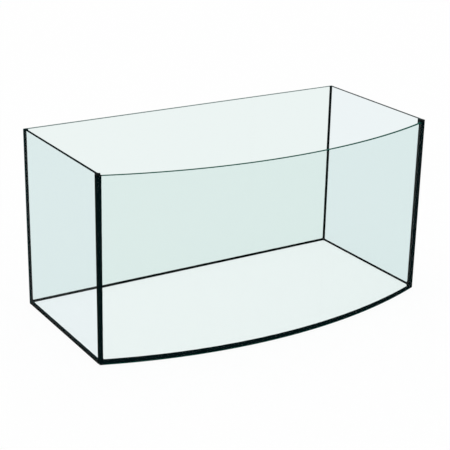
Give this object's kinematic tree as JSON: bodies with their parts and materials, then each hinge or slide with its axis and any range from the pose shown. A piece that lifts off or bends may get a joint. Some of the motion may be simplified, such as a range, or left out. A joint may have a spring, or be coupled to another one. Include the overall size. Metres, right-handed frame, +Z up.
{
  "type": "bow-front glass aquarium tank",
  "caption": "Open-topped bow-front aquarium tank of clear glass panes glued edge to face with black silicone, to hold water, plants and fish.",
  "frame": {"origin": "middle of the underside, halfway along the length and halfway between the rear face and the middle of the bowed front", "axes": "+X along the length to the right as seen from the front, +Y towards the rear, +Z up; the bowed front faces -Y"},
  "size_m": [0.8, 0.42, 0.4],
  "materials": {
    "float_glass": "clear polished float glass with a faint green cast and ground, arrissed edges",
    "bent_glass": "clear polished bent glass, slightly greener, with ground, arrissed edges",
    "silicone": "black satin silicone, tooled by hand"
  },
  "bodies": {
    "root": {"front_bow_pane": "bent_glass", "rear_pane": "float_glass", "base_pane": "float_glass", "left_side_pane": "float_glass", "right_side_pane": "float_glass", "front_left_bond": "silicone", "rear_left_bond": "silicone", "front_right_bond": "silicone", "rear_right_bond": "silicone", "rear_left_bead": "silicone", "rear_right_bead": "silicone", "front_left_bead": "silicone", "front_right_bead": "silicone", "base_left_bond": "silicone", "base_left_bead": "silicone", "base_front_bond": "silicone", "base_front_bead": "silicone", "base_right_bond": "silicone", "base_right_bead": "silicone", "base_rear_bond": "silicone", "base_rear_bead": "silicone"}
  },
  "joints": []
}
